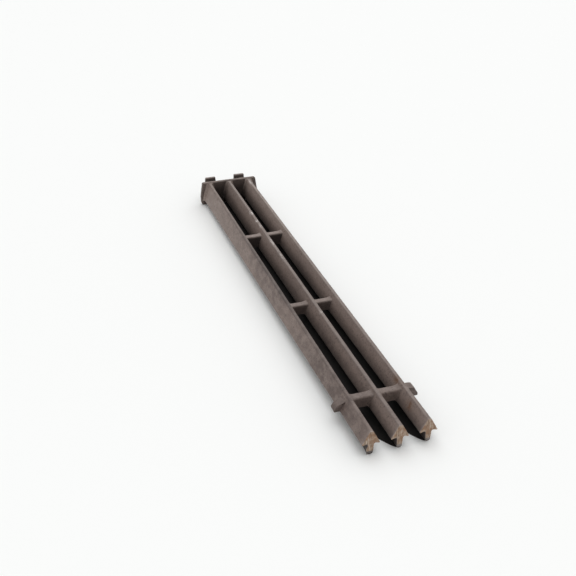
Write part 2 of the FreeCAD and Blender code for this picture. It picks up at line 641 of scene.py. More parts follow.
@dataclass(frozen=True)
class CastIronSkin:
    """Grey iron as it left the sand: dull, warm brown-grey oxide with paler handled edges.

    The oxide skin hides the metal, so it is shaded as a rough dielectric that mirrors little.
    Broad stains come from uneven cooling, blotches as big as a fingertip from handling. Moulding
    sand has grains of about 0.3 mm, which are drawn at 1.1 mm so that they show. Light and shade
    are painted in as well: a paler colour where a piece is marked with painted light, and a
    near-black one where it is marked with painted shade.
    """

    oxide_dark: str = "#60534e"
    oxide: str = "#796a63"
    oxide_pale: str = "#8f7f77"
    # Paler colour that paints light onto the roofs and the tops of the ties
    painted_light_tone: str = "#b3a39b"
    # Near-black of the painted shade, which also colours the pits
    painted_shade: str = "#2b2523"
    rubbed: str = "#b5aba5"
    bare: str = "#e3dedb"
    rust: str = "#6b503c"
    stains: Blotches = Blotches(45.0, 0.3, 0.62, (1.0, 2.2, 1.0))
    handling: Blotches = Blotches(7.0, 0.38, 0.66, (1.0, 1.5, 1.0), 5.0)
    specks: Blotches = Blotches(2.4, 0.48, 0.72, detail=4.0)
    pits: Blotches = Blotches(1.5, 0.58, 0.7, detail=2.0)
    rust_bloom: Blotches = Blotches(5.0, 0.3, 0.6)
    rub_patches: Blotches = Blotches(7.0, 0.28, 0.62, (1.0, 2.5, 1.0), 4.0)
    chips: Blotches = Blotches(1.3, 0.45, 0.58, (1.0, 2.2, 1.0), 2.0)
    mottle: float = 0.5
    roughness: tuple[float, float] = (0.62, 0.5)
    specular: float = 0.35
    grain_size: float = 1.1
    grain_depth: float = 0.35
    grain_strength: float = 0.5

    def build(self) -> bpy.types.Material:
        """Makes the material.

        Returns:
            The material, which reads each piece's marks of painted light, wear, rust and painted
            shade.
        """
        material, tree = blank("as_cast_grey_iron")
        place = millimetres(tree)
        wear_and_painted_light = {
            name: add_node(tree, "ShaderNodeAttribute", attribute_name=name).outputs["Fac"]
            for name in MARKS
        }
        handling = self.handling.mask(tree, place)
        coats = (
            (self.oxide, self.stains.mask(tree, place), 1.0),
            # Painted light
            (self.painted_light_tone, wear_and_painted_light["painted_light"], 1.0),
            (self.oxide_pale, handling, self.mottle),
            (self.oxide_dark, self.specks.mask(tree, place), self.mottle),
            (self.painted_shade, self.pits.mask(tree, place), self.mottle),
            # Painted shade
            (self.painted_shade, wear_and_painted_light["shade"], 1.0),
            (self.rust, self.rust_bloom.mask(tree, place), wear_and_painted_light["rust"]),
            (self.rubbed, self.rub_patches.mask(tree, place), wear_and_painted_light["rubbed"]),
            (self.bare, self.chips.mask(tree, place), wear_and_painted_light["bare"]),
        )
        dull, polished = self.roughness
        rough = add_node(
            tree, "ShaderNodeMapRange", {"Value": handling, "To Min": dull, "To Max": polished}
        )
        grain = add_node(
            tree,
            "ShaderNodeTexNoise",
            {"Vector": place, "Scale": 1 / self.grain_size, "Detail": 3.0},
        )
        surface(
            tree,
            {
                "Base Color": coated(tree, self.oxide_dark, coats),
                "Roughness": rough.outputs["Result"],
                "Specular IOR Level": self.specular,
            },
            (grain.outputs["Fac"], self.grain_strength, self.grain_depth),
        )
        return material


@dataclass(frozen=True)
class GroundIron:
    """Iron cut back on a coarse wheel and browned since: upright scratches on tan metal.

    A thin film of rust lets some of the metal through, so it is only partly metallic. The wheel's
    grit of about 0.5 mm is drawn as scratches 0.8 to 1 mm wide so that they show.
    """

    ground: str = "#a18c7a"
    browned: str = "#8a6c54"
    groove: str = "#64503f"
    scratch: str = "#c9bcae"
    film: Blotches = Blotches(5.0, 0.4, 0.6)
    grooves: Blotches = Blotches(1.0, 0.52, 0.7, (1.0, 1.0, 14.0))
    scratches: Blotches = Blotches(0.8, 0.56, 0.7, (1.0, 1.0, 14.0))
    metallic: float = 0.25
    roughness: float = 0.55
    wheel_lines: tuple[float, float, float] = (1.6, 1.6, 0.1)
    line_depth: float = 0.3
    line_strength: float = 0.4

    def build(self) -> bpy.types.Material:
        """Makes the material.

        Returns:
            The material.
        """
        material, tree = blank("ground_grey_iron")
        place = millimetres(tree)
        coats = (
            (self.browned, self.film.mask(tree, place), 1.0),
            (self.groove, self.grooves.mask(tree, place), 1.0),
            (self.scratch, self.scratches.mask(tree, place), 1.0),
        )
        lines = add_node(tree, "ShaderNodeMapping", {"Vector": place, "Scale": self.wheel_lines})
        wheel = add_node(
            tree, "ShaderNodeTexNoise", {"Vector": lines.outputs["Vector"], "Scale": 1.0}
        )
        surface(
            tree,
            {
                "Base Color": coated(tree, self.ground, coats),
                "Metallic": self.metallic,
                "Roughness": self.roughness,
            },
            (wheel.outputs["Fac"], self.line_strength, self.line_depth),
        )
        return material


@dataclass(frozen=True)
class Paper:
    """Uncoated paper or board, pressed and dyed through: flat, matt colour without a glint."""

    name: str
    colour: str
    roughness: float

    def build(self) -> bpy.types.Material:
        """Makes the material.

        Returns:
            The material.
        """
        material, tree = blank(self.name)
        surface(tree, {"Base Color": linear(self.colour), "Roughness": self.roughness})
        return material


@dataclass(frozen=True)
class Finishes:
    """The casting's two materials: its skin, and the ground front faces."""

    cast: bpy.types.Material
    ground: bpy.types.Material


# ---------------------------------------------------------------- members


@dataclass(frozen=True)
class BarProfile:
    """Arrow-shaped section that the bars share and that all else is fitted to.

    Attributes:
        front: y of the bars' front ends.
        rear: y of the end plate's front face.
        pitch: from ridge to ridge.
        span: over both wing tips.
        rear_height: cooking edge to ridge at the end plate.
    """

    front: float
    rear: float
    pitch: float
    span: float
    rear_height: float
    front_height: float = 23.4
    ridge_width: float = 3.3
    ridge_radius: float = 1.0
    gutter_front: float = 10.5
    gutter_rear: float = 5.7
    wing_tip: float = 1.2
    wing_tip_radius: float = 0.4
    gutter_rise: float = 1.2
    root_width: float = 5.6
    root_radius: float = 1.2
    nose_width: float = 4.2
    nose_radius: float = 1.9
    nose_height: float = 4.2

    @classmethod
    def from_frame(cls) -> "BarProfile":
        """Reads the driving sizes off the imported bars.

        Returns:
            The section.
        """
        low, high = (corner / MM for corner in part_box("bar_centre"))
        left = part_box("bar_left")[0] / MM
        return cls(low.y, high.y, low.x - left.x, high.x - low.x, high.z)

    def share(self, y: np.ndarray | float) -> np.ndarray | float:
        """How far along the bars the place y is, from 0 at the front to 1 at the plate."""
        return (y - self.front) / (self.rear - self.front)

    def ridge(self, y: np.ndarray | float) -> np.ndarray | float:
        """Height of the ridges at the place y."""
        return self.front_height + (self.rear_height - self.front_height) * self.share(y)

    def underside(self, y: np.ndarray | float) -> np.ndarray | float:
        """Height of the wing tips' lower edges at the place y."""
        return self.gutter_front + (self.gutter_rear - self.gutter_front) * self.share(y)

    def half_width(self, y: np.ndarray | float, z: np.ndarray | float) -> np.ndarray | float:
        """Half the roof's width at the place y and the height z."""
        drop = (self.ridge(y) - z) / (self.ridge(y) - self.underside(y) - self.wing_tip)
        return self.ridge_width / 2 + (self.span - self.ridge_width) / 2 * drop

    def section(self, x: float, y: float) -> list[Point]:
        """Outline of the bar whose ridge is above the line x, at the place y.

        Args:
            x: where the ridge lies.
            y: where the section is taken.

        Returns:
            The outline's points in order.
        """
        under = self.underside(y)
        half = [
            (self.ridge_width / 2, self.ridge(y), self.ridge_radius, 20),
            (self.span / 2, under + self.wing_tip, self.wing_tip_radius, 1),
            (self.span / 2, under, self.wing_tip_radius, 4),
            (self.root_width / 2, under + self.gutter_rise, self.root_radius, 7),
            (self.nose_width / 2, 0.0, self.nose_radius, 1),
        ]
        return [(a + x, b) for a, b in rounded(mirrored(half))]


class Spot(NamedTuple):
    """Worn or flawed stretch of a bar.

    Attributes:
        y: its middle along the bar.
        length: how far it reaches from there.
        strength: how deep, high or strong it is.
        level: its height on the roof, from 0 at the wing tips to 1 at the ridge.
    """

    y: float
    length: float
    strength: float
    level: float = 1.0


@dataclass
class Member:
    """Member of the casting, which stands for the solid of its name.

    Attributes:
        name: its name, which is its solid's name too.
        profile: the section of the bars that it belongs to.
    """

    name: str
    profile: BarProfile

    @property
    def box(self) -> tuple[Vector, Vector]:
        """Low and high corner of its solid in millimetres."""
        low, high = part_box(self.name)
        return low / MM, high / MM

    def model(self) -> bpy.types.Object:
        """Models the clean shape, before sand and wear."""
        raise NotImplementedError

    def wear(self, piece: bpy.types.Object) -> None:
        """Works what is this member's own into its piece; most have nothing."""

    def marks(self, rows: np.ndarray) -> dict[str, np.ndarray]:
        """How worn it is, and how much light and shade is painted on it, at given places, by the
        marks' names.
        """
        raise NotImplementedError

    def dress(self, piece: bpy.types.Object, finishes: Finishes) -> None:
        """Marks the piece and gives it the cast skin."""
        mark(piece, self.marks(places(piece)))
        piece.data.materials.append(finishes.cast)


@dataclass
class Bar(Member):
    """One bar: roof, two grease wings and a stem with the cooking edge.

    Attributes:
        x: where its ridge lies.
        nicks: bright nicks in the ridge.
        rust: rust spots on the left face.
        flash: thin fins that the mould's joint left on the ridge.
        polish: how much the ridge is rubbed lighter.
        top_painted_shade: painted shade on the ridge all along.
        top_painted_shade_middle: how much more painted shade it has halfway along.
        rear_painted_light: how much light is painted on the upper roof towards the rear.
        stem_swell: how much fuller the left side of the stem is at the front end.
        open_side: side on which no neighbour shelters the roof from light and wiping.
    """

    x: float = 0.0
    nicks: tuple[Spot, ...] = ()
    rust: tuple[Spot, ...] = ()
    flash: tuple[Spot, ...] = ()
    polish: float = 0.0
    top_painted_shade: float = 0.2
    top_painted_shade_middle: float = 0.0
    rear_painted_light: float = 0.4
    stem_swell: float = 0.0
    open_side: Side | None = None
    # Shape that the three bars share
    stations: tuple[int, int] = (15, 31)
    nose_rings: tuple[float, float, float] = (1.0, 0.66, 0.33)
    plate_fillet: float = 2.6
    nose_setback: float = 0.9
    nose_reach: float = 8.0
    swell_drop: float = 14.5
    swell_fade: tuple[float, float] = (1.5, 2.0)
    crest_reach: float = 1.1
    nick_depth: float = 0.7
    # Wear, painted light and painted shade that they share
    rub_drop: float = 2.025
    rub_fade: float = 1.5
    rim_rub: float = 0.5
    tip_rub: float = 0.1
    tip_reach: float = 0.707
    chip_reach: float = 1.6
    rust_offset: float = 4.0
    rust_reach: tuple[float, float] = (4.243, 3.182)
    # Painted light on the roofs, stronger towards the rear
    open_painted_light: float = 0.42
    open_painted_light_crest: float = 0.35
    sheltered_painted_light: float = 0.2
    # Painted shade between the bars, at the plate, on the ridge and under the wings
    painted_shade_level: float = 0.4
    painted_shade_front: float = 0.7
    painted_shade_gain: float = 0.2
    tip_painted_shade_level: float = 0.8
    plate_painted_shade: float = 0.45
    plate_painted_shade_reach: float = 5.0
    top_painted_shade_spread: float = 0.3
    top_painted_shade_reach: float = 1.3
    underside_painted_shade: float = 0.85
    gutter_margin: float = 0.3

    def model(self) -> bpy.types.Object:
        """Models the clean bar: its front outline drawn back to the plate, where it changes.

        Returns:
            The piece, in object mode.
        """
        shape = self.profile
        outline = shape.section(self.x, shape.front)
        piece = add_outline(self.name, [(a, shape.front, b) for a, b in outline])
        extrude(piece, everywhere, (0.0, shape.rear - shape.front, 0.0))
        middle = (shape.front + shape.rear) / 2
        for ring in self.nose_rings:
            edit(piece, Pick.FACES, lambda rows: aligned(WAY_Y)(rows) & (rows[:, Y] < middle))
            height = (0.0, 0.0, ring * shape.nose_height * MM)
            bpy.ops.mesh.bisect(plane_co=height, plane_no=(0.0, 0.0, 1.0))
            bpy.ops.object.mode_set(mode="OBJECT")
        rows = places(piece)
        at_rear = rows[:, Y] > middle
        gaps = np.linalg.norm(rows[at_rear][:, None, [X, Z]] - np.array(outline), axis=2)
        rear_outline = [(a, shape.rear, b) for a, b in shape.section(self.x, shape.rear)]
        rows[at_rear] = np.array(rear_outline)[gaps.argmin(axis=1)]
        move_to(piece, rows)
        subdivide(piece, aligned(WAY_Y), self.stations)
        sculpt(piece, self.run_into_plate)
        return piece

    def wear(self, piece: bpy.types.Object) -> None:
        """Wears the ridge, grinds the ends and rounds the nose.

        Args:
            piece: the piece, in object mode.
        """
        sculpt(piece, self.wear_ridge)
        sculpt(piece, self.grind_ends)
        sculpt(piece, self.round_nose)

    def run_into_plate(self, rows: np.ndarray) -> np.ndarray:
        """Spreads the bar sideways into the cast fillet at the end plate.

        Args:
            rows: places in millimetres.

        Returns:
            How far each place moves.
        """
        shape = self.profile
        out = fillet(shape.rear - rows[:, Y], self.plate_fillet)
        return along(X, out * np.clip((rows[:, X] - self.x) / (shape.ridge_width / 2), -1.0, 1.0))

    def wear_ridge(self, rows: np.ndarray) -> np.ndarray:
        """Knocks the nicks out of the ridge and leaves the flash standing on its left half.

        Args:
            rows: places in millimetres.

        Returns:
            How far each place moves.
        """
        x, y, z = rows.T
        rise = np.zeros(len(rows))
        for nick in self.nicks:
            rise -= self.nick_depth * nick.strength * bell(y - nick.y, nick.length)
        for fin in self.flash:
            # The fin's height runs up and down unevenly between a fifth and all of its own
            ragged = 0.6 + 0.4 * np.sin(y * 2.3) * np.sin(y * 0.9 + 1.0)
            rise += fin.strength * ragged * (x < self.x) * bell(y - fin.y, fin.length, power=4)
        return along(Z, rise * bell(self.profile.ridge(y) - z, self.crest_reach))

    def grind_ends(self, rows: np.ndarray) -> np.ndarray:
        """Brings both ends flat again, to the planes of the wheel and of the plate.

        Args:
            rows: places in millimetres.

        Returns:
            How far each place moves.
        """
        shape = self.profile
        cells = (self.stations[0] + 1) * (self.stations[1] + 1)
        half_cell = (shape.rear - shape.front) / cells / 2
        y = rows[:, Y]
        flat = np.where(y < shape.front + half_cell, shape.front - y, 0.0)
        return along(Y, np.where(y > shape.rear - half_cell, shape.rear - y, flat))

    def round_nose(self, rows: np.ndarray) -> np.ndarray:
        """Sets the cooking edge back at the front end, where the pattern was round.

        Args:
            rows: places in millimetres.

        Returns:
            How far each place moves.
        """
        shape = self.profile
        x, y, z = rows.T
        reach = np.exp(-np.maximum(y - shape.front, 0.0) / self.nose_reach)
        low = 1.0 - ramp(z, shape.nose_height)
        side_fade, drop_fade = self.swell_fade
        swell = ramp(shape.front_height - self.swell_drop - z, drop_fade)
        swell *= ramp(self.x - x, side_fade) * reach
        return along(X, -self.stem_swell * swell) + along(Y, self.nose_setback * low**2 * reach)

    def marks(self, rows: np.ndarray) -> dict[str, np.ndarray]:
        """How worn the bar is, and how much light and shade is painted on it, at given places, by
        the marks' names.

        Args:
            rows: places in millimetres.

        Returns:
            Each mark's strength at each place, by its name.
        """
        return {
            "rubbed": self.rubbed(rows),
            "bare": self.chipped(rows),
            "rust": self.rusted(rows),
            "painted_light": self.painted_lighting(rows),
            "shade": self.painted_shading(rows),
        }

    def below(self, rows: np.ndarray) -> np.ndarray:
        """How far places lie below the ridge, in millimetres."""
        return self.profile.ridge(rows[:, Y]) - rows[:, Z]

    def depth(self, rows: np.ndarray) -> np.ndarray:
        """How far down the roof places lie, from 0 at the ridge to 1 at the wing tips."""
        y = rows[:, Y]
        return ramp(self.below(rows), self.profile.ridge(y) - self.profile.underside(y))

    def is_open(self, rows: np.ndarray) -> np.ndarray:
        """Which places are on the side without a neighbour."""
        side = self.open_side.value if self.open_side else 0
        return (rows[:, X] - self.x) * side > 0

    def rubbed(self, rows: np.ndarray) -> np.ndarray:
        """Pale ridge, front rim and wing tips.

        Args:
            rows: places in millimetres.

        Returns:
            The mark's strength at each place.
        """
        shape = self.profile
        ridge = ramp(self.rub_drop - self.below(rows), self.rub_fade)
        rim = np.exp(shape.front - rows[:, Y])
        tip = bell(np.abs(rows[:, X] - self.x) - shape.span / 2, self.tip_reach)
        return ridge * self.polish + rim * self.rim_rub + tip * self.tip_rub

    def chipped(self, rows: np.ndarray) -> np.ndarray:
        """Bright metal in the nicks.

        Args:
            rows: places in millimetres.

        Returns:
            The mark's strength at each place.
        """
        bare = np.zeros(len(rows))
        for nick in self.nicks:
            bare += nick.strength * bell(rows[:, Y] - nick.y, nick.length)
        return bare * bell(self.below(rows), self.chip_reach)

    def rusted(self, rows: np.ndarray) -> np.ndarray:
        """Rust spots on the left face.

        Args:
            rows: places in millimetres.

        Returns:
            The mark's strength at each place.
        """
        shape = self.profile
        x, y, z = rows.T
        across, upright = self.rust_reach
        rust = np.zeros(len(rows))
        for spot in self.rust:
            foot = shape.underside(spot.y)
            height = foot + spot.level * (shape.ridge(spot.y) - foot)
            patch = bell(y - spot.y, spot.length) * bell(z - height, upright)
            rust += spot.strength * patch * bell(x - self.x + self.rust_offset, across)
        return rust

    def painted_lighting(self, rows: np.ndarray) -> np.ndarray:
        """Painted light, stronger towards the rear: low on the open side, high on the sheltered
        ones.

        Args:
            rows: places in millimetres.

        Returns:
            The mark's strength at each place.
        """
        # Painted light: lighter towards the ridge on the sheltered sides, towards the wing tips on
        # the open side, and towards the rear
        depth, share = self.depth(rows), self.profile.share(rows[:, Y])
        crest = self.open_painted_light_crest
        wiped = self.open_painted_light * share**2 * (crest + (1 - crest) * depth)
        sheltered = (self.sheltered_painted_light + self.rear_painted_light * share**2) * (1 - depth)
        return np.where(self.is_open(rows), wiped, sheltered)

    def painted_shading(self, rows: np.ndarray) -> np.ndarray:
        """Painted shade between the bars, at the plate, on the ridge and under the wings.

        Args:
            rows: places in millimetres.

        Returns:
            The mark's strength at each place.
        """
        shape = self.profile
        y = rows[:, Y]
        depth, share = self.depth(rows), shape.share(y)
        # Painted shade: darker down the sheltered roofs towards the wing tips and the plate, on the
        # ridge, and under the wings
        painted_shade = ramp(depth - self.painted_shade_level, 1 - self.painted_shade_level)
        painted_shade *= self.painted_shade_front + self.painted_shade_gain * share
        painted_shade += ramp(depth - self.tip_painted_shade_level, 1.0)
        by_plate = np.exp((y - shape.rear) / self.plate_painted_shade_reach)
        painted_shade += self.plate_painted_shade * by_plate * ramp(depth, 1 / 3)
        painted_shade = np.where(self.is_open(rows), 0.0, painted_shade)
        top_painted_shade = self.top_painted_shade + self.top_painted_shade_middle * bell(share - 0.5, self.top_painted_shade_spread)
        painted_shade = np.maximum(painted_shade, top_painted_shade * bell(self.below(rows), self.top_painted_shade_reach))
        in_gutter = rows[:, Z] < shape.underside(y) + self.gutter_margin
        return np.maximum(painted_shade, self.underside_painted_shade * in_gutter)

    def dress(self, piece: bpy.types.Object, finishes: Finishes) -> None:
        """Marks the bar, gives it the cast skin and its front end the ground face.

        Args:
            piece: the piece, in object mode.
            finishes: the casting's materials.
        """
        super().dress(piece, finishes)
        shape = self.profile
        piece.data.materials.append(finishes.ground)

        facing, reach, foot = 0.8, 0.6, 0.95 * shape.nose_height

        def ground(rows: np.ndarray) -> np.ndarray:
            """Faces that the wheel reached: upright, at the very front and above the nose.

            Args:
                rows: the faces' middles and normals.

            Returns:
                Which of them are ground.
            """
            at_front = (rows[:, WAY_Y] < -facing) & (rows[:, Y] < shape.front + reach)
            return at_front & (rows[:, Z] > foot)

        edit(piece, Pick.FACES, ground)
        piece.active_material_index = 1
        bpy.ops.object.material_slot_assign()
        bpy.ops.object.mode_set(mode="OBJECT")


@dataclass
class Tie(Member):
    """Cross tie between two neighbouring bars, with cast fillets where it runs into their roofs.

    Attributes:
        bite: how far its ends reach into the bars.
        flare: share of the fillet by which its sides, top and foot grow at the ends.
        fin_inset: how far the fin that the mould left stands from the right end.
    """

    edge_radius: float = 1.8
    fillet_radius: float = 2.6
    bite: float = 0.8
    cuts: int = 19
    flare: tuple[float, float, float] = (0.75, 0.375, 0.225)
    fin_height: float = 0.5
    fin_inset: float = 1.5
    fin_reach: tuple[float, float] = (1.6, 1.5)
    top_fade: float = 2.2
    polish: float = 0.3
    # Painted light on the tops towards the rear; painted shade on the sides, deeper to the rear,
    # and on the tops at the front
    rear_painted_light: float = 0.4
    painted_shade: tuple[float, float, float] = (0.1, 1.1, 0.92)
    top_painted_shade: float = 0.2

    def model(self) -> bpy.types.Object:
        """Models the clean tie: a block with round top edges, flared ends and slanted feet.

        Returns:
            The piece, in object mode.
        """
        low, high = self.box
        middle, half = (low + high) / 2, (high - low) / 2
        shape = self.profile
        foot_gap = shape.pitch / 2 - float(shape.half_width(middle.y, middle.z))
        reach = Vector((foot_gap, half.y, half.z))
        piece = add_block(self.name, middle - reach, middle + reach)
        subdivide(piece, everywhere, (self.cuts,))
        flare_side, flare_up, flare_down = self.flare

        def form(rows: np.ndarray) -> np.ndarray:
            """Rounds the top edges, flares the ends and fits them to the roofs.

            Args:
                rows: places in millimetres.

            Returns:
                How far each place moves.
            """
            x, y, z = (rows - np.array(middle)).T
            keep_y = np.clip(y, -half.y + self.edge_radius, half.y - self.edge_radius)
            keep_z = np.minimum(z, half.z - self.edge_radius)
            away = np.column_stack([y - keep_y, z - keep_z])
            away *= self.edge_radius / np.maximum(np.linalg.norm(away, axis=1), 1e-9)[:, None]
            corner = z > half.z - self.edge_radius
            y = np.where(corner, keep_y + away[:, 0], y)
            z = np.where(corner, keep_z + away[:, 1], z)
            # Near its ends the tie grows all round, most at the very end
            out = fillet(foot_gap - np.abs(x), self.fillet_radius)
            y = y * (1 + flare_side * out / half.y)
            z = z + out * np.where(z > 0, flare_up, flare_down) * z / half.z
            fin = bell(x - foot_gap + self.fin_inset, self.fin_reach[0])
            fin *= bell(y - half.y, self.fin_reach[1])
            z = z + self.fin_height * fin * (z > 0)
            gap = shape.pitch / 2 - shape.half_width(middle.y + y, middle.z + z) + self.bite
            return np.column_stack([x * gap / foot_gap, y, z]) + np.array(middle) - rows

        sculpt(piece, form)
        return piece

    def marks(self, rows: np.ndarray) -> dict[str, np.ndarray]:
        """Rubbed top edges with painted light towards the rear, and painted shade on the sides,
        deeper to the rear, and on the tops at the front.

        Args:
            rows: places in millimetres.

        Returns:
            Each mark's strength at each place, by its name.
        """
        top = 1.0 - ramp(self.box[1].z - rows[:, Z], self.top_fade)
        share = self.profile.share(rows[:, Y])
        painted_shade_front, painted_shade_gain, painted_shade_most = self.painted_shade
        sides = np.minimum(painted_shade_front + painted_shade_gain * share, painted_shade_most)
        return {
            "rubbed": self.polish * share * top,
            "painted_light": self.rear_painted_light * share * top,
            "shade": sides * (1 - top) + self.top_painted_shade * (1 - share) * top,
        }


@dataclass
class Ear(Member):
    """Ear on an outer bar: beyond a shoulder its top falls to a blunt end.

    Attributes:
        side: the side that it stands out from.
        root_drop: how far its root lies below the ridge.
        shoulder_reach: from the ridge to the shoulder.
        shoulder_drop: how far the shoulder lies below the ridge.
        rim_draw: how far the rims are drawn back, as a share of the edge radius.
        rim_start: how far beyond the wing that starts.
    """

    side: Side = Side.RIGHT
    root_drop: float = 3.4
    shoulder_reach: float = 9.4
    shoulder_drop: float = 3.8
    shoulder_radius: float = 1.4
    end_height: float = 2.5
    edge_radius: float = 0.8
    rim_draw: float = 0.6
    rim_start: float = 0.5
    rings: int = 2
    ring_width: float = 0.7
    cuts: int = 7
    bite: float = 1.0
    top_fade: float = 2.0
    polish: float = 0.1
    # Painted shade on the whole ear and more on its sides
    painted_shade: tuple[float, float] = (0.2, 0.1)

    def outline(self) -> list[Point]:
        """Outline of the ear, seen from the front.

        Returns:
            The outline's points in order.
        """
        low, high = self.box
        shape = self.profile
        y = (low.y + high.y) / 2
        ridge = float(shape.ridge(y))
        root = ridge - self.root_drop
        reach = max(abs(low.x), abs(high.x)) - shape.pitch
        root_reach = float(shape.half_width(y, root))
        corners = [
            (root_reach - self.bite, root, 0.0, 2),
            (root_reach, root, 0.0, 6),
            (self.shoulder_reach, ridge - self.shoulder_drop, self.shoulder_radius, 8),
            (reach, low.z + self.end_height, self.edge_radius, 2),
            (reach, low.z, self.edge_radius, 7),
            (shape.span / 2 - self.bite, low.z, 0.0, 8),
        ]
        return [(self.side.value * (shape.pitch + a), b) for a, b in rounded(corners)]

    def model(self) -> bpy.types.Object:
        """Models the clean ear: its outline drawn to its thickness, with rims drawn back.

        Returns:
            The piece, in object mode.
        """
        low, high = self.box
        points = self.outline()
        piece = add_outline(self.name, [(a, low.y, b) for a, b in points])
        extrude(piece, everywhere, (0.0, high.y - low.y, 0.0))
        edit(piece, Pick.FACES, aligned(WAY_Y))
        for _ in range(self.rings):
            bpy.ops.mesh.inset(thickness=self.ring_width * MM, depth=0.0, use_even_offset=False)
        bpy.ops.object.mode_set(mode="OBJECT")

        def soften(rows: np.ndarray) -> np.ndarray:
            """Rounds the rims beyond the wing by drawing the outermost ring back.

            Args:
                rows: places in millimetres.

            Returns:
                How far each place moves.
            """
            shape = self.profile
            y = rows[:, Y] - (low.y + high.y) / 2
            on_face = np.abs(y) > (high.y - low.y) / 2 - CLOSE
            outer = self.side.value * rows[:, X] > shape.pitch + shape.span / 2 + self.rim_start
            gaps = np.abs(rows[:, None, [X, Z]] - np.array(points)).sum(axis=2).min(axis=1)
            rim = (gaps < CLOSE / 2) & outer & on_face
            return along(Y, -np.sign(y) * self.rim_draw * self.edge_radius * rim)

        subdivide(piece, aligned(WAY_Y), (self.cuts,))
        sculpt(piece, soften)
        return piece

    def marks(self, rows: np.ndarray) -> dict[str, np.ndarray]:
        """Slightly rubbed shoulder, and painted shade all over that is deeper on the sides.

        Args:
            rows: places in millimetres.

        Returns:
            Each mark's strength at each place, by its name.
        """
        low, high = self.box
        root = float(self.profile.ridge((low.y + high.y) / 2)) - self.root_drop
        top = 1.0 - ramp(root - rows[:, Z], self.top_fade)
        top_painted_shade, side_painted_shade = self.painted_shade
        return {"rubbed": self.polish * top, "shade": top_painted_shade + side_painted_shade * (1 - top)}


@dataclass
class EndPlate(Member):
    """Plate that closes the rear: widest below its middle, with round corners and rims."""

    top_reach: float = 9.4
    waist_drop: float = 18.2
    foot_reach: float = 11.4
    top_radius: float = 1.8
    foot_radius: float = 3.0
    rim: float = 1.0
    cuts: tuple[int, int, int] = (63, 5, 31)
    top_fade: float = 1.0
    inner_fade: float = 4.0
    foot_fade: float = 12.0
    polish: float = 0.12
    # Painted shade on the faces below the top edge, deeper between the bars and downwards
    painted_shade: float = 0.45
    inner_painted_shade: float = 0.4

    def half_width(self, z: np.ndarray) -> np.ndarray:
        """Half the plate's width at given heights.

        Args:
            z: the heights.

        Returns:
            Half the width at each.
        """
        low, high = self.box
        pitch = self.profile.pitch
        levels = [low.z, self.profile.rear_height - self.waist_drop, high.z]
        return np.interp(
            z, levels, [pitch + self.foot_reach, (high.x - low.x) / 2, pitch + self.top_reach]
        )

    def model(self) -> bpy.types.Object:
        """Models the clean plate: a block that is narrowed, and drawn back at its rims.

        Returns:
            The piece, in object mode.
        """
        low, high = self.box
        middle, half = (low + high) / 2, (high - low) / 2
        piece = add_block(self.name, low, high)
        across, through, upright = self.cuts
        for way, cuts in ((WAY_Z, upright), (WAY_X, across), (WAY_Y, through)):
            subdivide(piece, aligned(way), (cuts,))

        def narrow(rows: np.ndarray) -> np.ndarray:
            """Brings the sides in above and below the waist and rounds the four corners.

            Args:
                rows: places in millimetres.

            Returns:
                How far each place moves.
            """
            x, _, z = rows.T
            kept = self.half_width(z) - fillet(high.z - z, self.top_radius)
            kept -= fillet(z - low.z, self.foot_radius)
            return along(X, x * (kept / half.x - 1))

        def round_rims(rows: np.ndarray) -> np.ndarray:
            """Draws the plate's outer cells back so that its front and back rims are round.

            Args:
                rows: places in millimetres.

            Returns:
                How far each place moves.
            """
            x, y, z = rows.T
            inset = np.minimum.reduce([self.half_width(z) - np.abs(x), high.z - z, z - low.z])
            pull = fillet(np.maximum(inset, 0.0), self.rim)
            return along(Y, -(y - middle.y) / half.y * pull)

        sculpt(piece, narrow)
        sculpt(piece, round_rims)
        return piece

    def marks(self, rows: np.ndarray) -> dict[str, np.ndarray]:
        """Rubbed top edge, and painted shade below it that is deeper between the bars and
        downwards.

        Args:
            rows: places in millimetres.

        Returns:
            Each mark's strength at each place, by its name.
        """
        below = self.box[1].z - rows[:, Z]
        top = 1.0 - ramp(below, self.top_fade)
        inner = ramp(self.profile.pitch - np.abs(rows[:, X]), self.inner_fade)
        painted_shade = self.painted_shade + self.inner_painted_shade * inner * ramp(below, self.foot_fade)
        return {"rubbed": self.polish * top, "shade": painted_shade * (1 - top)}


@dataclass
class Hook(Member):
    """Hook behind the end plate: an arm, and a tip that stands up behind the rail."""

    tip_thickness: float = 4.4
    arm_thickness: float = 5.0
    tip_width: float = 13.4
    edge: float = 1.1
    edge_segments: int = 3
    cuts: int = 5
    top_fade: float = 1.2
    polish: float = 0.3
    # Painted shade on the faces below the top edge
    painted_shade: float = 0.6

    def model(self) -> bpy.types.Object:
        """Models the clean hook: an arm, its tip drawn up from its end, and round edges.

        Returns:
            The piece, in object mode.
        """
        low, high = self.box
        tip_front = high.y - self.tip_thickness
        arm_top = low.z + self.arm_thickness
        piece = add_block(self.name, low, Vector((high.x, tip_front, arm_top)))
        extrude(piece, lambda rows: rows[:, WAY_Y] > ALIGNED, (0.0, self.tip_thickness, 0.0))
        extrude(
            piece,
            lambda rows: (rows[:, WAY_Z] > ALIGNED) & (rows[:, Y] > tip_front),
            (0.0, 0.0, high.z - arm_top),
        )
        edit(piece, Pick.VERTICES, lambda rows: rows[:, Z] > high.z - CLOSE)
        bpy.ops.transform.resize(
            value=(self.tip_width / (high.x - low.x), 1.0, 1.0),
            center_override=Vector(((low.x + high.x) / 2, 0.0, high.z)) * MM,
        )
        bpy.ops.object.mode_set(mode="OBJECT")
        bevel(piece, lambda rows: rows[:, Y] > low.y + CLOSE, self.edge, self.edge_segments)
        subdivide(piece, everywhere, (self.cuts,))
        return piece

    def marks(self, rows: np.ndarray) -> dict[str, np.ndarray]:
        """Painted shade on the faces and a slightly rubbed top edge."""
        top = 1.0 - ramp(self.box[1].z - rows[:, Z], self.top_fade)
        return {"rubbed": self.polish * top, "shade": self.painted_shade * (1 - top)}


# ---------------------------------------------------------------- stage


